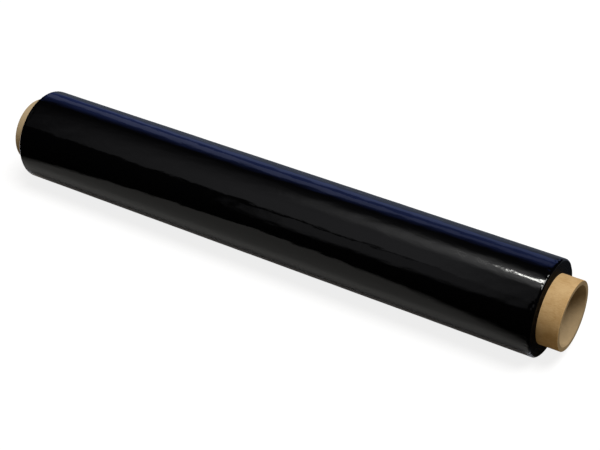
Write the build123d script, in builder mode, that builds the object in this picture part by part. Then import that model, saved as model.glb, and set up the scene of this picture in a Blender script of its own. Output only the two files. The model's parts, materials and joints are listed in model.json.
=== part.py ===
from build123d import *
import os
from math import cos, pi, radians, sin, sqrt

# A stretch wrap roll lying on its side: a paper core tube and the film wound tightly on it.
# The roll's axis runs along X. The surface that it lies on is Z = 0, and the origin is on that
# surface, under the middle of the core.

# Core tube
core_diameter = 58.0
core_wall = 4.0
near_stub_length = 18.0  # core that stands out of the film at +X
far_stub_length = 14.0  # core that stands out of the film at -X
cut_edge_bevel = 0.4  # paper edges, softened where the tube was cut off
outer_ply_width = 100.0  # kraft strip that makes the tube's outermost layer
seam_depth = 0.3
seam_far_angle = 353.0  # degrees up from the front, at which the seam reaches the far end

# Wound film
film_width = 500.0
film_build = 11.5  # thickness of all the turns together, from the core outwards
shoulder_round = 2.0  # edges of the outer turns, drawn in a little
flat_spot_width = 12.0  # where the roll's own weight has pressed it flat

# Winding marks: the spiral that the edges of the turns leave in both end faces
marked_turns = 4
first_mark_share = 0.12  # of the film's build, measured from the core
last_mark_share = 0.76
mark_depth = 0.35

# Places and radii that follow from the sizes above
core_radius = core_diameter / 2
bore_radius = core_radius - core_wall
film_radius = core_radius + film_build
core_length = far_stub_length + film_width + near_stub_length
core_far_end = -core_length / 2
core_near_end = core_length / 2
film_far_face = core_far_end + far_stub_length
film_near_face = core_near_end - near_stub_length
axis_height = sqrt(film_radius**2 - (flat_spot_width / 2) ** 2)
core_girth = pi * core_diameter
seam_lead = outer_ply_width * core_girth / sqrt(core_girth**2 - outer_ply_width**2)
seam_overrun = core_wall
turn_pitch = film_build * (last_mark_share - first_mark_share) / marked_turns
first_mark_radius = core_radius + film_build * first_mark_share

# Sections are drawn on the upright plane through the roll's axis: local X along the roll,
# local Y straight up from the axis
roll_plane = Plane(origin=(0, 0, axis_height), x_dir=(1, 0, 0), z_dir=(0, -1, 0))
roll_axis = Axis((0, 0, axis_height), (1, 0, 0))

# Core tube: a spiral-wound paper tube, cut off square at both ends
with BuildPart() as core_tube:
    with BuildSketch(roll_plane):
        with Locations((core_far_end, bore_radius)):
            Rectangle(core_length, core_wall, align=(Align.MIN, Align.MIN))
    revolve(axis=roll_axis)
    chamfer(core_tube.edges().filter_by(GeomType.CIRCLE), length=cut_edge_bevel)
    # The outer ply is one strip wound as a helix, and its edges meet in a shallow helical seam.
    # It is open where the core stands out of the film, and pressed shut under the film.
    for run_start, run_end in (
        (core_far_end - seam_overrun, film_far_face + seam_overrun),
        (film_near_face - seam_overrun, core_near_end + seam_overrun),
    ):
        turned = 2 * pi * (run_start - core_far_end) / seam_lead
        seam_angle = radians(seam_far_angle) - turned
        outwards = Vector(0, -cos(seam_angle), sin(seam_angle))
        run_plane = Plane((run_start, 0, axis_height), x_dir=outwards, z_dir=(1, 0, 0))
        run_length = run_end - run_start
        seam = run_plane * Helix(seam_lead, run_length, core_radius, mode=Mode.PRIVATE)
        with BuildSketch(Plane(seam @ 0, x_dir=outwards, z_dir=seam % 0)):
            RegularPolygon(radius=seam_depth, side_count=4)
        sweep(path=seam, is_frenet=True, mode=Mode.SUBTRACT)

core_tube.part.label = "core_tube"

# Wound film: every turn together is one solid, seated on the core along its whole width
with BuildPart() as film_roll:
    with BuildSketch(roll_plane):
        with Locations((film_far_face, core_radius)):
            Rectangle(film_width, film_build, align=(Align.MIN, Align.MIN))
    revolve(axis=roll_axis)
    outer_edges = film_roll.edges().filter_by(GeomType.CIRCLE).group_by(SortBy.RADIUS)[-1]
    fillet(outer_edges, radius=shoulder_round)
    # Each end face's spiral is cut as half turns, struck by turns from a centre a quarter of the
    # pitch below the axis and one as far above it, so each starts where the last one ended
    for face_x in (film_far_face, film_near_face):
        for half_turn in range(2 * marked_turns):
            side = 1 if half_turn % 2 else -1
            centre = side * turn_pitch / 4
            radius = first_mark_radius + half_turn * turn_pitch / 2
            with BuildSketch(roll_plane):
                with Locations((face_x, centre - side * radius)):
                    RegularPolygon(radius=mark_depth, side_count=4)
            strike_axis = Axis((0, 0, axis_height + centre), (1, 0, 0))
            revolve(axis=strike_axis, revolution_arc=180, mode=Mode.SUBTRACT)
    split(bisect_by=Plane.XY, keep=Keep.TOP)

film_roll.part.label = "film_roll"

os.makedirs("parts", exist_ok=True)
export_step(core_tube.part, "parts/core_tube.step")
export_step(film_roll.part, "parts/film_roll.step")
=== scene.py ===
import json
from math import cos, pi, radians, sin, tau
from typing import NamedTuple

import bmesh
import bpy
from bpy.props import FloatProperty, FloatVectorProperty, IntProperty, PointerProperty
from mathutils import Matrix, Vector


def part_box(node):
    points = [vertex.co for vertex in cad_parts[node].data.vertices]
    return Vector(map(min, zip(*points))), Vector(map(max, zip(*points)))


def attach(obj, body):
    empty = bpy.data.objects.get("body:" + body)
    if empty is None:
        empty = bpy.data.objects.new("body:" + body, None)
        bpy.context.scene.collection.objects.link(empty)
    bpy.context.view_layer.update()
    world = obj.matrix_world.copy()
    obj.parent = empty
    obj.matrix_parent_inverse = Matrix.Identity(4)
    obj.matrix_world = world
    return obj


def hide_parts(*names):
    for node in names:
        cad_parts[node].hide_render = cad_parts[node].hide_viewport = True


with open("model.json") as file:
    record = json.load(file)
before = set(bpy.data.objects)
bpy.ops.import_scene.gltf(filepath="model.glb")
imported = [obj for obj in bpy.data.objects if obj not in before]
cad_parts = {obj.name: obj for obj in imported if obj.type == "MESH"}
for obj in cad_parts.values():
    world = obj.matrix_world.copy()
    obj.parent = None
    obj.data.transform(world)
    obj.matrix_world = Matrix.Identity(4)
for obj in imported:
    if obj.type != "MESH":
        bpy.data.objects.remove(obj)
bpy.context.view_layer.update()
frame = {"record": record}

bl_info = {
    "name": "Stretch Wrap Roll",
    "version": (1, 0, 0),
    "blender": (4, 5, 0),
    "location": "3D View > Sidebar > Wrap Roll",
    "description": "Builds the looks of a roll of black stretch film on its paper core",
    "category": "Object",
}

MM = 0.001
CORE_NODE = "core_tube"
FILM_NODE = "film_roll"
BODY = "root"

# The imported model's sizes, in metres
core_low, core_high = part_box(CORE_NODE)
film_low, film_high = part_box(FILM_NODE)
bore_mount = next(m for m in frame["record"]["mounts"] if m["name"] == "core_bore")
axis_height = bore_mount["pos_m"][2]


class WrapRollSizes(bpy.types.PropertyGroup):
    """Sizes of the roll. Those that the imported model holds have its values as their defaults."""

    axis_height: FloatProperty(
        name="Axis height",
        description="Height of the roll's axis above the surface that it lies on",
        default=axis_height,
        unit="LENGTH",
    )
    core_radius: FloatProperty(
        name="Core radius",
        description="Outside of the paper core, and bore of the wound film",
        default=(core_high.y - core_low.y) / 2,
        unit="LENGTH",
    )
    bore_radius: FloatProperty(
        name="Bore radius",
        description="Inside of the paper core",
        default=bore_mount["dims"]["r_mm"] * MM,
        unit="LENGTH",
    )
    film_radius: FloatProperty(
        name="Film radius",
        description="Outside of the last turn of film",
        default=(film_high.y - film_low.y) / 2,
        unit="LENGTH",
    )
    cut_edge: FloatProperty(
        name="Cut edge",
        description="Rounding of the core's edges where it was cut off",
        default=0.4 * MM,
        unit="LENGTH",
    )
    ply_width: FloatProperty(
        name="Ply width",
        description="Width of the kraft strip that is wound as the core's outer layer",
        default=100 * MM,
        unit="LENGTH",
    )
    seam_depth: FloatProperty(
        name="Seam depth",
        description="Depth and half width of the helical seam in the outer layer",
        default=0.3 * MM,
        unit="LENGTH",
    )
    seam_far_angle: FloatProperty(
        name="Seam angle",
        description="Where the seam reaches the core's far end, up from the front",
        default=radians(353),
        subtype="ANGLE",
    )
    ply_relief: FloatProperty(
        name="Ply relief",
        description="How far the paper layers stand out of each other on the cut ends",
        default=0.12 * MM,
        unit="LENGTH",
    )
    shoulder_round: FloatProperty(
        name="Shoulder round",
        description="Rounding of the film's outer edges, where the turns are drawn in",
        default=2 * MM,
        unit="LENGTH",
    )
    marked_turns: IntProperty(
        name="Marked turns",
        description="Turns of the spiral that shows in the film's end faces",
        default=4,
    )
    mark_depth: FloatProperty(
        name="Mark depth",
        description="Depth and half width of the spiral's groove",
        default=0.35 * MM,
        unit="LENGTH",
    )
    film_ripple: FloatProperty(
        name="Film ripple",
        description="How far the film's surface dips between its tension lines",
        default=0.075 * MM,
        unit="LENGTH",
    )
    edge_crumple: FloatProperty(
        name="Edge crumple",
        description="How far the crumpled edges of the last turns are pressed in",
        default=0.6 * MM,
        unit="LENGTH",
    )
    tail_step: FloatProperty(
        name="Tail step",
        description="Height of the step at the film's free end, with the air under it",
        default=0.15 * MM,
        unit="LENGTH",
    )
    tail_angle: FloatProperty(
        name="Tail angle",
        description="Where the film's free end lies, up from the front",
        default=radians(222),
        subtype="ANGLE",
    )
    segments: IntProperty(
        name="Segments",
        description="Steps round the roll",
        default=320,
    )


class WrapRollColours(bpy.types.PropertyGroup):
    """Colours of the roll, as linear values."""

    kraft: FloatVectorProperty(
        name="Kraft paper",
        description="Outer layer of the core",
        default=(0.56, 0.38, 0.185),
        subtype="COLOR",
    )
    kraft_dark: FloatVectorProperty(
        name="Kraft fibres",
        description="Darker fibres and rubbed places in the outer layer",
        default=(0.43, 0.26, 0.10),
        subtype="COLOR",
    )
    # Painted shade: the outer layer at the far end is darker and greyer, standing in for the film's
    # shadow and the cooler light there
    kraft_painted_shade: FloatVectorProperty(
        name="Kraft in painted shade",
        description="Outer layer at the far end, painted darker and greyer as shade",
        default=(0.36, 0.285, 0.18),
        subtype="COLOR",
    )
    liner: FloatVectorProperty(
        name="Bore liner",
        description="Greyer paper on the inside of the core and on its cut ends",
        default=(0.36, 0.26, 0.142),
        subtype="COLOR",
    )
    film: FloatVectorProperty(
        name="Film",
        description="Black polyethylene film",
        default=(0.0009, 0.0009, 0.0011),
        subtype="COLOR",
    )


class WrapRollStage(bpy.types.PropertyGroup):
    """Camera, lamps and the things round the roll that its glossy film mirrors."""

    lens: FloatProperty(name="Lens", description="Focal length", default=90.06, unit="CAMERA")
    azimuth: FloatProperty(
        name="Azimuth",
        description="Direction that the camera looks from, round the roll from the front",
        default=radians(31.76),
        subtype="ANGLE",
    )
    elevation: FloatProperty(
        name="Elevation",
        description="How far the camera looks down",
        default=radians(34.378),
        subtype="ANGLE",
    )
    camera_place: FloatVectorProperty(
        name="Camera place",
        description="Where the camera stands",
        default=(0.5671, -0.8844, 0.7479),
        subtype="TRANSLATION",
    )
    key_strength: FloatProperty(name="Key", description="Strength of the key lamp", default=3.1)
    fill_strength: FloatProperty(name="Fill", description="Light from all round", default=0.17)
    mirror_reach: FloatProperty(
        name="Mirror reach",
        description="Distance from the film to the cards that it mirrors",
        default=2.0,
        unit="LENGTH",
    )


def sizes():
    return bpy.context.scene.wrap_roll_sizes


def colours():
    return bpy.context.scene.wrap_roll_colours


def stage_settings():
    return bpy.context.scene.wrap_roll_stage


# Node trees


def add_node(tree, kind, inputs=None, **settings):
    """Add a node. inputs maps an input's name or index to a socket or to a plain value."""
    node = tree.nodes.new(kind)
    for name, value in settings.items():
        setattr(node, name, value)
    for key, value in (inputs or {}).items():
        if isinstance(value, bpy.types.NodeSocket):
            tree.links.new(value, node.inputs[key])
        else:
            node.inputs[key].default_value = value
    return node


def maths(tree, operation, *values):
    """The result of one Math node."""
    return add_node(tree, "ShaderNodeMath", dict(enumerate(values)), operation=operation).outputs[0]


def ramp(tree, value, low, high, low_out=0.0, high_out=1.0):
    """A value eased from low_out at low to high_out at high, and held beyond them."""
    inputs = {"Value": value, 1: low, 2: high, 3: low_out, 4: high_out}
    node = add_node(tree, "ShaderNodeMapRange", inputs, interpolation_type="SMOOTHSTEP")
    return node.outputs[0]


def vector(tree, x, y, z):
    return add_node(tree, "ShaderNodeCombineXYZ", {0: x, 1: y, 2: z}).outputs[0]


def noise(tree, place, detail=2.0, roughness=0.5):
    """Noise from 0 to 1 at a place, with cells one unit across."""
    inputs = {"Vector": place, "Scale": 1.0, "Detail": detail, "Roughness": roughness}
    return add_node(tree, "ShaderNodeTexNoise", inputs).outputs[0]


def vector_maths(tree, operation, a, b):
    """The vector that one Vector Math node gives."""
    return add_node(tree, "ShaderNodeVectorMath", {0: a, 1: b}, operation=operation).outputs[0]


def cells(tree, place, size, centre=(0, 0, 0), turn=(0, 0, 0)):
    """A place counted in cells of this size from a centre, once turned about it."""
    inputs = {"Vector": place, "Center": centre, "Rotation": turn}
    turned = add_node(tree, "ShaderNodeVectorRotate", inputs, rotation_type="EULER_XYZ").outputs[0]
    return vector_maths(tree, "DIVIDE", vector_maths(tree, "SUBTRACT", turned, centre), size)


def named_inputs(tree, values):
    """Give a geometry tree its geometry sockets and one input for each name, of its value's kind."""
    tree.interface.new_socket("Geometry", in_out="INPUT", socket_type="NodeSocketGeometry")
    tree.interface.new_socket("Geometry", in_out="OUTPUT", socket_type="NodeSocketGeometry")
    for name, value in values.items():
        kind = "NodeSocketInt" if isinstance(value, int) else "NodeSocketFloat"
        tree.interface.new_socket(name, in_out="INPUT", socket_type=kind)


class SectionPoint(NamedTuple):
    """A point of the half section that is turned round the roll's axis."""

    along: float
    radius: float
    side: int = 0  # -1 on the far end face, 1 on the near one
    twist: float = 0.0  # how far the row of faces that it makes is turned, to follow a seam


def section_object(name, points):
    """The half section as a mesh of loose edges. Its last point closes on its first."""
    mesh = bpy.data.meshes.new(name)
    verts = [(point.along, 0, point.radius) for point in points]
    mesh.from_pydata(verts, [(k, k + 1) for k in range(len(verts) - 1)], [])
    for field in ("side", "twist"):
        layer = mesh.attributes.new(field, "FLOAT", "POINT")
        layer.data.foreach_set("value", [getattr(point, field) for point in points])
    piece = bpy.data.objects.new(name, mesh)
    bpy.context.scene.collection.objects.link(piece)
    return piece


def named_value(tree, name):
    """The mesh's own value of this name."""
    return add_node(tree, "GeometryNodeInputNamedAttribute", {"Name": name}).outputs[0]


def section_value(tree, entry, row, value, kind):
    """What a value is at the section's point that made a row."""
    inputs = {"Geometry": entry["Geometry"], "Value": value, "Index": row}
    return add_node(tree, "GeometryNodeSampleIndex", inputs, data_type=kind).outputs[0]


def turned_fields(tree, entry):
    """Turn the section round: a grid with one row for each of its points.

    Returns the grid and, for each of its points, the place along the roll, the radius, the side
    and the angle up from the front.
    """
    size = add_node(tree, "GeometryNodeAttributeDomainSize", {0: entry["Geometry"]})
    columns = maths(tree, "ADD", entry["Segments"], 1)
    grid = add_node(
        tree,
        "GeometryNodeMeshGrid",
        {"Vertices X": size.outputs["Point Count"], "Vertices Y": columns},
    )
    index = add_node(tree, "GeometryNodeInputIndex").outputs[0]
    row = maths(tree, "FLOOR", maths(tree, "DIVIDE", index, columns))
    column = maths(tree, "SUBTRACT", index, maths(tree, "MULTIPLY", row, columns))
    place = add_node(tree, "GeometryNodeInputPosition").outputs[0]
    found = section_value(tree, entry, row, place, "FLOAT_VECTOR")
    side = section_value(tree, entry, row, named_value(tree, "side"), "FLOAT")
    twist = section_value(tree, entry, row, named_value(tree, "twist"), "FLOAT")
    parts = add_node(tree, "ShaderNodeSeparateXYZ", {0: found})
    turned = maths(tree, "MULTIPLY", maths(tree, "DIVIDE", column, entry["Segments"]), tau)
    angle = maths(tree, "ADD", turned, twist)
    return grid.outputs["Mesh"], parts.outputs[0], parts.outputs[2], side, angle


def turned_finish(tree, entry, mesh, along, radius, angle, material):
    """Put the grid's points round the axis, flatten what would lie below the floor, and close it."""
    front = maths(tree, "MULTIPLY", radius, maths(tree, "COSINE", angle))
    up = maths(tree, "MULTIPLY", radius, maths(tree, "SINE", angle))
    height = maths(tree, "MAXIMUM", maths(tree, "ADD", up, entry["Axis height"]), 0)
    place = vector(tree, along, maths(tree, "MULTIPLY", front, -1), height)
    placed = add_node(tree, "GeometryNodeSetPosition", {"Geometry": mesh, "Position": place})
    joined = add_node(
        tree, "GeometryNodeMergeByDistance", {"Geometry": placed.outputs[0], "Distance": 1e-6}
    )
    smooth = add_node(tree, "GeometryNodeSetShadeSmooth", {"Geometry": joined.outputs[0]})
    real = add_node(tree, "GeometryNodeRealizeInstances", {"Geometry": smooth.outputs[0]})
    painted = add_node(
        tree, "GeometryNodeSetMaterial", {"Geometry": real.outputs[0], "Material": material}
    )
    add_node(tree, "NodeGroupOutput", {"Geometry": painted.outputs[0]})


def start_tree(name, values):
    """A new geometry tree with its named inputs. Returns the tree and its entry sockets."""
    tree = bpy.data.node_groups.new(name, "GeometryNodeTree")
    named_inputs(tree, values)
    entry = {s.name: s for s in tree.nodes.new("NodeGroupInput").outputs if s.name}
    return tree, entry


def make_plain(piece, tree, values):
    """Run the tree on a piece with these inputs, and keep its result as a plain closed mesh."""
    modifier = piece.modifiers.new(tree.name, "NODES")
    modifier.node_group = tree
    for item in tree.interface.items_tree:
        if item.item_type == "SOCKET" and item.in_out == "INPUT" and item.name in values:
            modifier[item.identifier] = values[item.name]
    depsgraph = bpy.context.evaluated_depsgraph_get()
    mesh = bpy.data.meshes.new_from_object(piece.evaluated_get(depsgraph), depsgraph=depsgraph)
    piece.modifiers.remove(modifier)
    piece.data = mesh
    shape = bmesh.new()
    shape.from_mesh(mesh)
    bmesh.ops.dissolve_degenerate(shape, dist=1e-7, edges=shape.edges)
    bmesh.ops.recalc_face_normals(shape, faces=shape.faces)
    shape.to_mesh(mesh)
    shape.free()
    return piece


# The core tube

BORE_POINTS = 40  # along the bore
RIM_POINTS = 44  # across the wall on each cut end
EDGE_POINTS = 5  # round each softened edge
STUB_POINTS = 26  # along each end of the tube, where the seam shows
HIDDEN_POINTS = 20  # along the tube between them, under the film
SEAM_REACH_SHARE = 1.5  # of a stub: how far from each end the rows follow the seam
PLY_THICKNESS = 0.4 * MM
PLY_TEARS = 30  # how much finer the plies are torn round the tube than they wander


def arc(centre_along, centre_radius, radius, start, end, points):
    """Points round an arc in the section, from one angle to another, without its first one."""
    steps = [start + (end - start) * (k + 1) / points for k in range(points)]
    return [(centre_along + radius * cos(a), centre_radius + radius * sin(a)) for a in steps]


def straight(start, end, points):
    """Evenly spaced points on a straight run, without its first one."""
    shares = [(k + 1) / points for k in range(points)]
    return [tuple(s + (e - s) * share for s, e in zip(start, end)) for share in shares]


def seam_lead(s):
    """How far the seam goes along the core in one turn."""
    girth = tau * s.core_radius
    return s.ply_width * girth / (girth**2 - s.ply_width**2) ** 0.5


def seam_twist(s, along, reach):
    """The turn of a row of faces, so that its first column lies on the seam.

    It does so within reach of each end of the core, and turns evenly between those two stretches.
    """
    far, near = core_low.x + reach, core_high.x - reach
    turn = tau / seam_lead(s)
    spare_turns = tau * round((core_high.x - core_low.x) * turn / tau)
    if along <= far:
        return s.seam_far_angle - (along - core_low.x) * turn
    if along >= near:
        return s.seam_far_angle - (along - core_low.x) * turn + spare_turns
    start, end = seam_twist(s, far, reach), seam_twist(s, near, reach)
    return start + (end - start) * (along - far) / (near - far)


def core_section(s):
    """The core tube's wall, starting in the bore at its far end and closing there."""
    far, near, edge = core_low.x, core_high.x, s.cut_edge
    inner, outer = s.bore_radius, s.core_radius
    reach = (film_low.x - far + edge) * SEAM_REACH_SHARE
    bore = [(far + edge, inner)] + straight((far + edge, inner), (near - edge, inner), BORE_POINTS)
    near_rim = arc(near - edge, inner + edge, edge, -pi / 2, 0, EDGE_POINTS)
    near_rim += straight(near_rim[-1], (near, outer - edge), RIM_POINTS)
    near_rim += arc(near - edge, outer - edge, edge, 0, pi / 2, EDGE_POINTS)
    middle = straight(near_rim[-1], (near - reach, outer), STUB_POINTS)
    middle += straight(middle[-1], (far + reach, outer), HIDDEN_POINTS)
    middle += straight(middle[-1], (far + edge, outer), STUB_POINTS)
    far_rim = arc(far + edge, outer - edge, edge, pi / 2, pi, EDGE_POINTS)
    far_rim += straight(far_rim[-1], (far, inner + edge), RIM_POINTS)
    far_rim += arc(far + edge, inner + edge, edge, pi, 3 * pi / 2, EDGE_POINTS)
    rows = [(bore, 0, edge), (near_rim, 1, edge), (middle, 0, reach)]
    rows += [(far_rim[:-1], -1, edge), (far_rim[-1:], 0, edge)]
    return [
        SectionPoint(along, radius, side, seam_twist(s, along, twisted))
        for run, side, twisted in rows
        for along, radius in run
    ]


def core_tree(values, material):
    """The tube with its helical seam and the uneven edges of its plies on the cut ends."""
    tree, entry = start_tree("core_tube_shape", values)
    mesh, along, radius, side, angle = turned_fields(tree, entry)
    travelled = maths(tree, "SUBTRACT", along, entry["Far end"])
    helix = maths(tree, "DIVIDE", travelled, entry["Seam lead"])
    turned = maths(tree, "DIVIDE", maths(tree, "SUBTRACT", angle, entry["Seam angle"]), tau)
    off_seam = maths(tree, "PINGPONG", maths(tree, "ADD", helix, turned), 0.5)
    gap = maths(tree, "MULTIPLY", off_seam, entry["Ply width"])
    dip = maths(tree, "MAXIMUM", maths(tree, "SUBTRACT", entry["Seam depth"], gap), 0)
    outside = ramp(tree, radius, entry["Bore radius"], entry["Core radius"])
    outside = maths(tree, "GREATER_THAN", outside, 0.9)
    lowered = maths(tree, "SUBTRACT", radius, maths(tree, "MULTIPLY", dip, outside))
    plies = maths(tree, "MULTIPLY", radius, entry["Plies a metre"])
    wander = noise(tree, vector(tree, plies, maths(tree, "COSINE", angle), side), 3.0)
    round_tube = maths(tree, "MULTIPLY", maths(tree, "SINE", angle), PLY_TEARS)
    torn = noise(tree, vector(tree, plies, round_tube, side))
    depth = maths(tree, "ADD", wander, maths(tree, "MULTIPLY", torn, 0.5))
    sunk = maths(tree, "MULTIPLY", maths(tree, "MULTIPLY", depth, entry["Ply relief"]), side)
    shifted = maths(tree, "SUBTRACT", along, sunk)
    turned_finish(tree, entry, mesh, shifted, lowered, angle, material)
    return tree


def kraft_material(c, s):
    """Kraft paper outside, with fibres and rubbed places, and greyer board inside and on the rim."""
    material = bpy.data.materials.new("kraft_core")
    material.use_nodes = True
    tree = material.node_tree
    shader = tree.nodes["Principled BSDF"]
    shader.inputs["Roughness"].default_value = 0.82
    shader.inputs["Specular IOR Level"].default_value = 0.25
    place = add_node(tree, "ShaderNodeTexCoord").outputs["Object"]
    parts = add_node(tree, "ShaderNodeSeparateXYZ", {0: place})
    across, height = parts.outputs[1], maths(tree, "SUBTRACT", parts.outputs[2], s.axis_height)
    radius = maths(tree, "SQRT", maths(tree, "ADD", maths(tree, "POWER", across, 2),
                                       maths(tree, "POWER", height, 2)))
    mottle = noise(tree, cells(tree, place, (18 * MM, 18 * MM, 18 * MM)), 4.0, 0.6)
    fibre = noise(tree, cells(tree, place, (3 * MM, 0.7 * MM, 0.7 * MM)), 3.0, 0.7)
    blotch = maths(tree, "ADD", maths(tree, "MULTIPLY", mottle, 0.6),
                   maths(tree, "MULTIPLY", fibre, 0.4))
    mix = ramp(tree, blotch, 0.36, 0.66)
    paper = add_node(
        tree,
        "ShaderNodeMix",
        {"Factor": mix, "A": (*c.kraft_dark, 1), "B": (*c.kraft, 1)},
        data_type="RGBA",
    )
    inside = ramp(tree, radius, s.core_radius - 1.2 * s.cut_edge,
                  s.core_radius - 0.6 * s.cut_edge, 1, 0)
    board = add_node(
        tree,
        "ShaderNodeMix",
        {"Factor": mix, "A": (*(0.82 * v for v in c.liner), 1), "B": (*c.liner, 1)},
        data_type="RGBA",
    )
    # Painted shade: the kraft turns darker and greyer towards the far end, for the film's shadow and
    # the cooler light there
    far_painted_shade = ramp(tree, parts.outputs[0], core_low.x, core_low.x + 40 * MM, 0.8, 0)
    far_shaded_paper = add_node(
        tree,
        "ShaderNodeMix",
        {"Factor": far_painted_shade, "A": paper.outputs[2], "B": (*c.kraft_painted_shade, 1)},
        data_type="RGBA",
    )
    colour = add_node(
        tree,
        "ShaderNodeMix",
        {"Factor": inside, "A": far_shaded_paper.outputs[2], "B": board.outputs[2]},
        data_type="RGBA",
    )
    tree.links.new(colour.outputs[2], shader.inputs["Base Color"])
    bump = add_node(
        tree, "ShaderNodeBump", {"Height": blotch, "Strength": 0.35, "Distance": 0.15 * MM}
    )
    tree.links.new(bump.outputs[0], shader.inputs["Normal"])
    return material


class WRAPROLL_OT_core(bpy.types.Operator):
    """Build the spiral-wound paper core tube"""

    bl_idname = "wraproll.core"
    bl_label = "Core tube"

    def execute(self, context):
        s = sizes()
        values = {
            "Segments": s.segments,
            "Axis height": s.axis_height,
            "Far end": core_low.x,
            "Bore radius": s.bore_radius,
            "Core radius": s.core_radius,
            "Ply width": s.ply_width,
            "Seam lead": seam_lead(s),
            "Seam angle": s.seam_far_angle,
            "Seam depth": s.seam_depth,
            "Ply relief": s.ply_relief,
            "Plies a metre": 1 / PLY_THICKNESS,
        }
        piece = section_object("paper_core", core_section(s))
        make_plain(piece, core_tree(values, kraft_material(colours(), s)), values)
        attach(piece, BODY)
        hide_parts(CORE_NODE)
        return {"FINISHED"}


# The wound film

FILM_BORE_POINTS = 4  # along the film's bore, which the core fills
FACE_POINTS = 58  # across the turns on each end face
SHOULDER_POINTS = 7
END_POINTS = 12  # along the last stretch of film before each shoulder
END_STRETCH = 12 * MM
MIDDLE_POINTS = 130
FIRST_MARK_SHARE = 0.12  # of the film's build, measured from the core
LAST_MARK_SHARE = 0.76
MARK_FADE_SHARE = 0.15  # of the spiral's pitch, over which its two ends fade out
FACE_WANDER = 0.16 * MM  # how far the edges of the turns stand in and out
TURN_BUNDLE = 0.7 * MM  # width of the bundles of turns that do so
CRUMPLE_REACH = 7 * MM  # from the end faces
TAIL_RUN = radians(95)  # round the roll, over which the step at the free end dies away
TAIL_SLOPE = 0.012  # radians that the free end strays to either side
TAIL_SLOPE_TURN = 11  # radians of that wave a metre


def film_section(s):
    """All the turns together, starting at the core on the far end and closing there."""
    far, near, round_off = film_low.x, film_high.x, s.shoulder_round
    inner, outer = s.core_radius, s.film_radius
    bore = [(far, inner)] + straight((far, inner), (near, inner), FILM_BORE_POINTS)
    near_face = straight(bore[-1], (near, outer - round_off), FACE_POINTS)
    shoulder = arc(near - round_off, outer - round_off, round_off, 0, pi / 2, SHOULDER_POINTS)
    middle = straight(shoulder[-1], (near - END_STRETCH, outer), END_POINTS)
    middle += straight(middle[-1], (far + END_STRETCH, outer), MIDDLE_POINTS)
    middle += straight(middle[-1], (far + round_off, outer), END_POINTS)
    shoulder_far = arc(far + round_off, outer - round_off, round_off, pi / 2, pi, SHOULDER_POINTS)
    far_face = straight(shoulder_far[-1], (far, inner), FACE_POINTS)
    rows = [(bore, 0), (near_face, 1), (shoulder + middle + shoulder_far, 0)]
    rows += [(far_face[:-1], -1), (far_face[-1:], 0)]
    return [SectionPoint(along, radius, side) for run, side in rows for along, radius in run]


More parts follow.
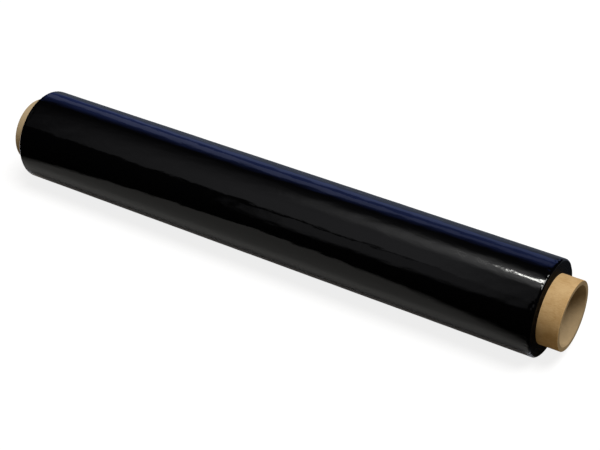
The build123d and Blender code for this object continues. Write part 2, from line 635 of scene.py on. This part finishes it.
def film_tree(values, material):
    """The wound film: the spiral in its end faces, its ripples, crumpled edges and free end."""
    tree, entry = start_tree("film_roll_shape", values)
    mesh, along, radius, side, angle = turned_fields(tree, entry)
    built = maths(tree, "SUBTRACT", radius, entry["First mark radius"])
    turned = maths(tree, "DIVIDE", maths(tree, "SUBTRACT", angle, pi / 2), tau)
    spiral = maths(tree, "ADD", maths(tree, "DIVIDE", built, entry["Mark pitch"]), turned)
    gap = maths(tree, "MULTIPLY", maths(tree, "PINGPONG", spiral, 0.5), entry["Mark pitch"])
    groove = maths(tree, "MAXIMUM", maths(tree, "SUBTRACT", entry["Mark depth"], gap), 0)
    marked = maths(tree, "MULTIPLY", entry["Marked turns"], entry["Mark pitch"])
    fade = maths(tree, "MULTIPLY", entry["Mark pitch"], MARK_FADE_SHARE)
    begun = ramp(tree, built, maths(tree, "MULTIPLY", fade, -1), fade)
    ended = ramp(tree, built, marked, maths(tree, "ADD", marked, fade), 1, 0)
    groove = maths(tree, "MULTIPLY", maths(tree, "MULTIPLY", groove, begun), ended)
    upright = maths(tree, "MULTIPLY", maths(tree, "SINE", angle), 1.2)
    level = maths(tree, "MULTIPLY", maths(tree, "COSINE", angle), 1.2)
    wander = noise(tree, vector(tree, maths(tree, "MULTIPLY", radius, entry["Edges a metre"]),
                                maths(tree, "ADD", level, side), upright), 3.0)
    sunk = maths(tree, "ADD", groove, maths(tree, "MULTIPLY", wander, entry["Face wander"]))
    shifted = maths(tree, "SUBTRACT", along, maths(tree, "MULTIPLY", sunk, side))

    front = maths(tree, "MULTIPLY", radius, maths(tree, "COSINE", angle))
    place = vector(tree, along, front, maths(tree, "MULTIPLY", radius, maths(tree, "SINE", angle)))
    waves = noise(tree, cells(tree, place, (24 * MM, 6 * MM, 6 * MM), turn=(0, 0.1, 0.14)), 2.0)
    waves = ramp(tree, waves, 0.32, 0.68, 0, entry["Film ripple"])
    to_near = maths(tree, "SUBTRACT", entry["Near end"], along)
    to_far = maths(tree, "SUBTRACT", along, entry["Far end"])
    to_end = maths(tree, "MINIMUM", to_near, to_far)
    at_edge = ramp(tree, to_end, 0, entry["Crumple reach"], 1, 0)
    crumple = noise(tree, cells(tree, place, (3 * MM, 2.4 * MM, 2.4 * MM)), 3.0, 0.6)
    crumple = ramp(tree, crumple, 0.42, 0.72, 0, entry["Edge crumple"])
    crumpled = noise(tree, cells(tree, place, (30 * MM, 14 * MM, 14 * MM)), 1.0)
    crumpled = ramp(tree, crumpled, 0.4, 0.62, 0.25, 1)
    crumple = maths(tree, "MULTIPLY", maths(tree, "MULTIPLY", crumple, crumpled), at_edge)
    pressed = maths(tree, "ADD", waves, crumple)
    past_tail = maths(tree, "SUBTRACT", angle, entry["Tail angle"])
    past_tail = maths(tree, "FLOORED_MODULO", past_tail, tau)
    wave = maths(tree, "SINE", maths(tree, "MULTIPLY", along, TAIL_SLOPE_TURN))
    sloped = maths(tree, "MULTIPLY", wave, TAIL_SLOPE)
    past_tail = maths(tree, "FLOORED_MODULO", maths(tree, "ADD", past_tail, sloped), tau)
    below_tail = ramp(tree, past_tail, 0, entry["Tail run"], entry["Tail step"], 0)
    pressed = maths(tree, "ADD", pressed, below_tail)
    on_outside = ramp(tree, radius, entry["Core radius"], entry["Film radius"], 0, 1)
    lowered = maths(tree, "SUBTRACT", radius, maths(tree, "MULTIPLY", pressed, on_outside))
    turned_finish(tree, entry, mesh, shifted, lowered, angle, material)
    return tree


def film_material(c, s):
    """Glossy black film with fine creases, and duller end faces with the edges of its turns."""
    material = bpy.data.materials.new("black_stretch_film")
    material.use_nodes = True
    tree = material.node_tree
    shader = tree.nodes["Principled BSDF"]
    shader.inputs["Base Color"].default_value = (*c.film, 1)
    shader.inputs["IOR"].default_value = 1.5
    place = add_node(tree, "ShaderNodeTexCoord").outputs["Object"]
    axis = (0, 0, s.axis_height)
    parts = add_node(tree, "ShaderNodeSeparateXYZ", {0: cells(tree, place, (1, 1, 1), axis)})
    radius = maths(tree, "SQRT", maths(tree, "ADD", maths(tree, "POWER", parts.outputs[1], 2),
                                       maths(tree, "POWER", parts.outputs[2], 2)))
    on_face = ramp(tree, radius, s.film_radius - 0.9 * s.shoulder_round,
                   s.film_radius - 0.3 * s.shoulder_round, 1, 0)
    creases = noise(
        tree, cells(tree, place, (22 * MM, 3.2 * MM, 3.2 * MM), axis, (0, 0.12, 0.2)), 3.0
    )
    peel = noise(tree, cells(tree, place, (10 * MM, 4 * MM, 4 * MM), axis), 2.0)
    edges = noise(tree, vector(tree, maths(tree, "MULTIPLY", radius, 1 / (0.4 * MM)), 0, 0), 2.0)
    skin = maths(tree, "ADD", maths(tree, "MULTIPLY", creases, 0.05 * MM),
                 maths(tree, "MULTIPLY", peel, 0.05 * MM))
    height = maths(tree, "ADD", skin, maths(tree, "MULTIPLY", edges,
                                            maths(tree, "MULTIPLY", on_face, 0.1 * MM)))
    bump = add_node(tree, "ShaderNodeBump", {"Height": height, "Strength": 1.0, "Distance": 1.0})
    tree.links.new(bump.outputs[0], shader.inputs["Normal"])
    dull = noise(tree, cells(tree, place, (11 * MM, 11 * MM, 11 * MM)), 3.0)
    roughness = ramp(tree, dull, 0.3, 0.8, 0.04, 0.1)
    roughness = maths(tree, "ADD", roughness, maths(tree, "MULTIPLY", on_face, 0.5))
    tree.links.new(roughness, shader.inputs["Roughness"])
    level = ramp(tree, on_face, 0, 1, 0.5, 0.06)
    tree.links.new(level, shader.inputs["Specular IOR Level"])
    return material


class WRAPROLL_OT_film(bpy.types.Operator):
    """Build the wound stretch film, all its turns together"""

    bl_idname = "wraproll.film"
    bl_label = "Wound film"

    def execute(self, context):
        s = sizes()
        build = s.film_radius - s.core_radius
        values = {
            "Segments": s.segments,
            "Axis height": s.axis_height,
            "Far end": film_low.x,
            "Near end": film_high.x,
            "Core radius": s.core_radius,
            "Film radius": s.film_radius,
            "Marked turns": float(s.marked_turns),
            "Mark pitch": build * (LAST_MARK_SHARE - FIRST_MARK_SHARE) / s.marked_turns,
            "First mark radius": s.core_radius + build * FIRST_MARK_SHARE,
            "Mark depth": s.mark_depth,
            "Face wander": FACE_WANDER,
            "Edges a metre": 1 / TURN_BUNDLE,
            "Film ripple": s.film_ripple,
            "Edge crumple": s.edge_crumple,
            "Crumple reach": CRUMPLE_REACH,
            "Tail angle": s.tail_angle,
            "Tail step": s.tail_step,
            "Tail run": TAIL_RUN,
        }
        piece = section_object("wound_film", film_section(s))
        make_plain(piece, film_tree(values, film_material(colours(), s)), values)
        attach(piece, BODY)
        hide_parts(FILM_NODE)
        return {"FINISHED"}


# The stage


class Card(NamedTuple):
    """A studio card, given by the band on the film in which the camera sees it."""

    name: str
    colour: tuple
    alongs: tuple  # places along the roll
    lows: tuple  # the band's lower edge at each of them, in degrees up from the front
    highs: tuple
    glows: tuple  # how much light it gives at each of them
    fade_low: float = 0.1  # share of the band over which its lower edge fades in
    fade_high: float = 0.1
    leans: tuple = ()  # how far the film's edge leans outwards at each of them


CARDS = (
    Card("blue_wall", (0.078, 0.121, 0.42), (-0.36, -0.2, 0.0, 0.24, 0.36),
         (79.5, 78.5, 77.5, 80, 81), (106, 106, 104, 104, 104), (0.8, 0.9, 1, 1, 0.6), 0.4, 0.1),
    Card("wall_top", (0.17, 0.205, 0.31), (-0.36, -0.2, -0.08, 0.04, 0.16, 0.24, 0.28),
         (105, 102.5, 97.6, 95.5, 96, 96, 96), (120, 120, 120, 120, 120, 120, 120),
         (0.9, 0.9, 1, 1, 1, 0.7, 0.3), 0.05, 0.1),
    Card("wall_low", (0.22, 0.24, 0.33), (-0.36, -0.2, -0.08, 0.04, 0.16, 0.24, 0.28),
         (92, 89, 85, 84.5, 87, 88, 89), (98.5, 97, 94.4, 91, 92.3, 92.5, 92.5),
         (0.7, 0.9, 1, 1, 0.7, 0.5, 0.3), 0.2, 0.08),
    Card("ceiling", (1, 1, 1.05), (-0.36, -0.24, -0.16, 0.0, 0.16, 0.24, 0.36),
         (39, 38.5, 38.5, 39, 38, 37.6, 37.6), (80, 80, 80, 80, 82, 82, 82),
         (0.03, 0.06, 0.16, 0.27, 0.3, 0.14, 0.08), 0.05, 0.75),
    Card("ceiling_front", (1, 1, 1.05), (-0.04, 0.03, 0.12, 0.2, 0.26), (24, 24, 25, 26, 27),
         (37.5, 37.6, 38.7, 39.3, 39.3), (0, 0.19, 0.18, 0.16, 0.05), 0.4, 0.06),
    Card("window_glow", (1, 1, 1), (0.0, 0.08, 0.16, 0.21, 0.25, 0.3), (54, 54, 53, 53, 52.5, 52.5),
         (72, 73, 73, 73, 72, 72), (0, 0.3, 0.62, 1.0, 1.5, 1.0), 0.45, 0.5),
    Card("strip_lamp", (1, 1, 0.95), (0.213, 0.2195, 0.2235, 0.233, 0.262, 0.3),
         (63, 62.2, 61.9, 61.5, 60.8, 60.6), (64.4, 65.4, 65.5, 64.9, 63.9, 63.7),
         (0, 2.5, 36, 31, 27, 24), 0.25, 0.25),
    Card("strip_end", (1, 1, 0.95), (0.247, 0.247), (60.5, 60.5), (64.5, 66), (20, 9),
         0.2, 0.2, (2, 16)),
    Card("rim_lamp", (1, 1, 0.97), (0.248, 0.248), (56, 56), (74, 74), (7, 7), 0.2, 0.2, (16, 30)),
)
CARD_STEPS = 10
TENT_SHARE = 1.6  # of the cards' distance: the dark tent stands outside them


def card_material(card):
    """Light that is added to what is seen behind the card, and fades at the band's two edges."""
    material = bpy.data.materials.new(card.name)
    material.use_nodes = True
    tree = material.node_tree
    tree.nodes.clear()
    glow = add_node(tree, "ShaderNodeAttribute", attribute_name="glow").outputs["Fac"]
    share = add_node(tree, "ShaderNodeAttribute", attribute_name="share").outputs["Fac"]
    begun = ramp(tree, share, 0, card.fade_low)
    ended = ramp(tree, share, 1 - card.fade_high, 1, 1, 0)
    strength = maths(tree, "MULTIPLY", glow, maths(tree, "MULTIPLY", begun, ended))
    light = add_node(tree, "ShaderNodeEmission", {"Color": (*card.colour, 1), "Strength": strength})
    clear = add_node(tree, "ShaderNodeBsdfTransparent")
    both = add_node(tree, "ShaderNodeAddShader", {0: light.outputs[0], 1: clear.outputs[0]})
    add_node(tree, "ShaderNodeOutputMaterial", {"Surface": both.outputs[0]})
    return material


def mirrored_place(along, angle, lean):
    """The place that the camera sees in the film at a point, given along the roll and up round it."""
    s, stage = sizes(), stage_settings()
    radial = Vector((0, -cos(angle), sin(angle)))
    point = Vector((along, 0, s.axis_height)) + radial * s.film_radius
    normal = radial * cos(lean) + Vector((sin(lean), 0, 0))
    to_camera = (Vector(stage.camera_place) - point).normalized()
    away = 2 * normal.dot(to_camera) * normal - to_camera
    return point + away * stage.mirror_reach


def add_card(card):
    """Build a card as a grid: its stations along the roll, and even steps across its band."""
    leans = card.leans or (0,) * len(card.alongs)
    stations = list(zip(card.alongs, card.lows, card.highs, card.glows, leans))
    rows = []
    for start, end in zip(stations, stations[1:]):
        for k in range(CARD_STEPS):
            rows.append([a + (b - a) * k / CARD_STEPS for a, b in zip(start, end)])
    rows.append(stations[-1])
    steps = range(CARD_STEPS + 1)
    verts, glows = [], []
    for along, low, high, glow, lean in rows:
        angles = [low + (high - low) * k / CARD_STEPS for k in steps]
        verts += [mirrored_place(along, radians(angle), radians(lean)) for angle in angles]
        glows += [glow] * len(angles)
    wide = len(steps)
    faces = [
        (i * wide + k, i * wide + k + 1, (i + 1) * wide + k + 1, (i + 1) * wide + k)
        for i in range(len(rows) - 1)
        for k in range(CARD_STEPS)
    ]
    mesh = bpy.data.meshes.new(card.name)
    mesh.from_pydata(verts, [], faces)
    mesh.attributes.new("glow", "FLOAT", "POINT").data.foreach_set("value", glows)
    shares = [k / CARD_STEPS for k in steps] * len(rows)
    mesh.attributes.new("share", "FLOAT", "POINT").data.foreach_set("value", shares)
    mesh.materials.append(card_material(card))
    mirror_only(card.name, mesh)


def mirror_only(name, mesh):
    """Add a stage mesh that only shows in reflections, and neither lights nor shades the roll."""
    piece = bpy.data.objects.new(name, mesh)
    bpy.context.scene.collection.objects.link(piece)
    piece.visible_camera = False
    piece.visible_diffuse = False
    piece.visible_shadow = False
    piece.visible_transmission = False


def dark_tent():
    """A black dome round the cards, so that the film mirrors darkness between them."""
    mesh = bpy.data.meshes.new("dark_tent")
    shape = bmesh.new()
    bmesh.ops.create_uvsphere(shape, u_segments=32, v_segments=16,
                              radius=stage_settings().mirror_reach * TENT_SHARE)
    shape.to_mesh(mesh)
    shape.free()
    material = bpy.data.materials.new("dark_tent")
    material.use_nodes = True
    material.node_tree.nodes.clear()
    black = add_node(material.node_tree, "ShaderNodeBsdfDiffuse", {"Color": (0, 0, 0, 1)})
    add_node(material.node_tree, "ShaderNodeOutputMaterial", {"Surface": black.outputs[0]})
    mesh.materials.append(material)
    mirror_only("dark_tent", mesh)


FLOOR_REACH = 6.0
FLOOR_SHADE = 0.2  # what the floor takes of the lamps, so that the roll's shadow shows on it
FLOOR_GLOW = 0.83  # and what it adds to come out white
SHEET_TONE = 0.27
SHEET_END = (0.24, 0.265)  # along the roll, where the sheet fades out past the near end
# Painted light: beside the roll the sheet is brighter, to lift the roll's own shadow on it in
# reflections: from, to and how much at its start, off the roll's middle
CONTACT_PAINTED_LIGHT = ((0.025, 0.0335, 4.6), (0.035, 0.062, 1.6))
CONTACT_PAINTED_TINT = (0.025, 0.04)  # the stretch over which it is a little greener and bluer, as painted light colour against the warm fill that alone lights the roll's shadow there
CONTACT_PAINTED_GREEN = 1.06
CONTACT_PAINTED_BLUE = 1.25
SHEET_BLUE = 0.98
BEHIND_FADE = 0.03
BEHIND_PAINTED_LIGHT = (0.12, 0.14, 0.185, 1)  # of the floor behind the roll, in reflections: painted light, its own bluer level set over the roll's shade there
BOUNCE_COLOUR = (0.28, 0.245, 0.18, 1)  # of the floor to diffuse rays

# Edges of the pale sheet on the floor that the film mirrors: a point on each edge, the way that it
# runs, and how far it fades outside and inside of the edge
SHEET_EDGES = (
    ((-0.281, -0.078), radians(-32.1), 0.008, 0.019),
    ((0.227, -0.068), radians(27.1), 0.012, 0.026),
)


def floor_material():
    """White to the camera, with the roll's shadow; a dimmer patch round the roll in reflections."""
    material = bpy.data.materials.new("pale_floor")
    material.use_nodes = True
    tree = material.node_tree
    tree.nodes.clear()
    light = add_node(tree, "ShaderNodeLightPath")
    shade = add_node(tree, "ShaderNodeBsdfDiffuse", {"Color": (*(FLOOR_SHADE,) * 3, 1)})
    glow = add_node(tree, "ShaderNodeEmission", {"Color": (1, 1, 1, 1), "Strength": FLOOR_GLOW})
    seen = add_node(tree, "ShaderNodeAddShader", {0: shade.outputs[0], 1: glow.outputs[0]})
    place = add_node(tree, "ShaderNodeTexCoord").outputs["Object"]
    parts = add_node(tree, "ShaderNodeSeparateXYZ", {0: place})
    patch = ramp(tree, parts.outputs[0], *SHEET_END, SHEET_TONE, 0)
    for start, heading, soft_out, soft_in in SHEET_EDGES:
        inwards = (-sin(heading), cos(heading), 0)
        off_edge = add_node(
            tree,
            "ShaderNodeVectorMath",
            {0: vector_maths(tree, "SUBTRACT", place, (*start, 0)), 1: inwards},
            operation="DOT_PRODUCT",
        )
        edge = ramp(tree, off_edge.outputs["Value"], -soft_out, soft_in)
        patch = maths(tree, "MULTIPLY", patch, edge)
    outward = parts.outputs[1]
    aside = maths(tree, "ABSOLUTE", outward)
    # Painted light: the mirrored sheet is brightened beside the roll, over the roll's own shadow
    # there
    for inner, outer, gain in CONTACT_PAINTED_LIGHT:
        patch = maths(tree, "MULTIPLY", patch, ramp(tree, aside, inner, outer, gain, 1))
    # Painted light colour: greener and bluer beside the roll, against the warm fill in the roll's
    # shadow
    greener = maths(tree, "MULTIPLY", patch, ramp(tree, aside, *CONTACT_PAINTED_TINT, CONTACT_PAINTED_GREEN, 1))
    blue = ramp(tree, aside, *CONTACT_PAINTED_TINT, CONTACT_PAINTED_BLUE, SHEET_BLUE)
    bluer = maths(tree, "MULTIPLY", patch, blue)
    grey = add_node(tree, "ShaderNodeCombineColor", {0: patch, 1: greener, 2: bluer})
    # Painted light: behind the roll the mirrored floor takes its own bluer colour, over the roll's
    # shade there
    behind = add_node(
        tree,
        "ShaderNodeMix",
        {"Factor": ramp(tree, outward, 0, BEHIND_FADE), "A": grey.outputs[0], "B": BEHIND_PAINTED_LIGHT},
        data_type="RGBA",
    )
    mirrored = add_node(tree, "ShaderNodeBsdfDiffuse", {"Color": behind.outputs[2]})
    plain = add_node(tree, "ShaderNodeBsdfDiffuse", {"Color": BOUNCE_COLOUR})
    other = add_node(
        tree,
        "ShaderNodeMixShader",
        {0: light.outputs["Is Glossy Ray"], 1: plain.outputs[0], 2: mirrored.outputs[0]},
    )
    both = add_node(
        tree,
        "ShaderNodeMixShader",
        {0: light.outputs["Is Camera Ray"], 1: other.outputs[0], 2: seen.outputs[0]},
    )
    add_node(tree, "ShaderNodeOutputMaterial", {"Surface": both.outputs[0]})
    return material


def add_floor():
    """A plain level floor under the roll."""
    size = FLOOR_REACH
    mesh = bpy.data.meshes.new("floor")
    corners = [(-size, -size, 0), (size, -size, 0), (size, size, 0), (-size, size, 0)]
    mesh.from_pydata(corners, [], [(0, 1, 2, 3)])
    mesh.materials.append(floor_material())
    floor = bpy.data.objects.new("floor", mesh)
    bpy.context.scene.collection.objects.link(floor)


KEY_AZIMUTH = radians(84)  # round the roll from the front
KEY_ELEVATION = radians(72)
KEY_SPREAD = radians(33)
FILL_COLOUR = (1, 0.86, 0.68, 1)


def add_lamp(name, azimuth, elevation, spread, strength):
    """A soft far lamp, from a direction round the roll and up. It lights, and isn't mirrored."""
    lamp = bpy.data.lights.new(name, "SUN")
    lamp.energy = strength
    lamp.angle = spread
    holder = bpy.data.objects.new(name, lamp)
    back = Vector((sin(azimuth) * cos(elevation), -cos(azimuth) * cos(elevation), sin(elevation)))
    holder.rotation_euler = (-back).to_track_quat("-Z", "Y").to_euler()
    holder.visible_glossy = False
    bpy.context.scene.collection.objects.link(holder)


def add_world():
    """White where it is seen or mirrored, and a weak warm fill on all else."""
    world = bpy.data.worlds.new("studio")
    bpy.context.scene.world = world
    world.use_nodes = True
    tree = world.node_tree
    tree.nodes.clear()
    light = add_node(tree, "ShaderNodeLightPath")
    seen = maths(tree, "MAXIMUM", light.outputs["Is Camera Ray"], light.outputs["Is Glossy Ray"])
    seen = maths(tree, "MAXIMUM", seen, light.outputs["Is Transmission Ray"])
    strength = ramp(tree, seen, 0, 1, stage_settings().fill_strength, 1)
    colour = add_node(
        tree,
        "ShaderNodeMix",
        {"Factor": seen, "A": FILL_COLOUR, "B": (1, 1, 1, 1)},
        data_type="RGBA",
    )
    back = add_node(
        tree, "ShaderNodeBackground", {"Color": colour.outputs[2], "Strength": strength}
    )
    add_node(tree, "ShaderNodeOutputWorld", {"Surface": back.outputs[0]})


def add_camera():
    """The camera, from the side and height that the photograph was taken from."""
    stage = stage_settings()
    camera = bpy.data.objects.new("camera", bpy.data.cameras.new("camera"))
    camera.data.lens = stage.lens
    camera.data.clip_start = 0.05
    camera.location = stage.camera_place
    a, e = stage.azimuth, stage.elevation
    look = Vector((-sin(a) * cos(e), cos(a) * cos(e), -sin(e)))
    camera.rotation_euler = look.to_track_quat("-Z", "Y").to_euler()
    bpy.context.scene.collection.objects.link(camera)
    bpy.context.scene.camera = camera


class WRAPROLL_OT_stage(bpy.types.Operator):
    """Set up the camera, the floor, the lamps and the cards that the film mirrors"""

    bl_idname = "wraproll.stage"
    bl_label = "Stage"

    def execute(self, context):
        context.scene.view_settings.view_transform = "Standard"
        stage = stage_settings()
        add_camera()
        add_floor()
        add_world()
        add_lamp("key", KEY_AZIMUTH, KEY_ELEVATION, KEY_SPREAD, stage.key_strength)
        for card in CARDS:
            add_card(card)
        dark_tent()
        return {"FINISHED"}


class WRAPROLL_PT_panel(bpy.types.Panel):
    """The roll's sizes and colours, and the steps that build it"""

    bl_idname = "WRAPROLL_PT_panel"
    bl_label = "Stretch Wrap Roll"
    bl_space_type = "VIEW_3D"
    bl_region_type = "UI"
    bl_category = "Wrap Roll"

    def draw(self, context):
        for settings in (sizes(), colours(), stage_settings()):
            box = self.layout.box()
            for name in settings.__annotations__:
                box.prop(settings, name)
        for operator in OPERATORS:
            self.layout.operator(operator.bl_idname)


GROUPS = {
    "wrap_roll_sizes": WrapRollSizes,
    "wrap_roll_colours": WrapRollColours,
    "wrap_roll_stage": WrapRollStage,
}
OPERATORS = (WRAPROLL_OT_core, WRAPROLL_OT_film, WRAPROLL_OT_stage)


def register():
    for group in GROUPS.values():
        bpy.utils.register_class(group)
    for name, group in GROUPS.items():
        setattr(bpy.types.Scene, name, PointerProperty(type=group))
    for operator in OPERATORS:
        bpy.utils.register_class(operator)
    bpy.utils.register_class(WRAPROLL_PT_panel)


def unregister():
    bpy.utils.unregister_class(WRAPROLL_PT_panel)
    for operator in reversed(OPERATORS):
        bpy.utils.unregister_class(operator)
    for name in GROUPS:
        delattr(bpy.types.Scene, name)
    for group in reversed(GROUPS.values()):
        bpy.utils.unregister_class(group)


def main():
    register()
    bpy.ops.wraproll.core()
    bpy.ops.wraproll.film()
    bpy.ops.wraproll.stage()


if __name__ == "__main__":
    main()
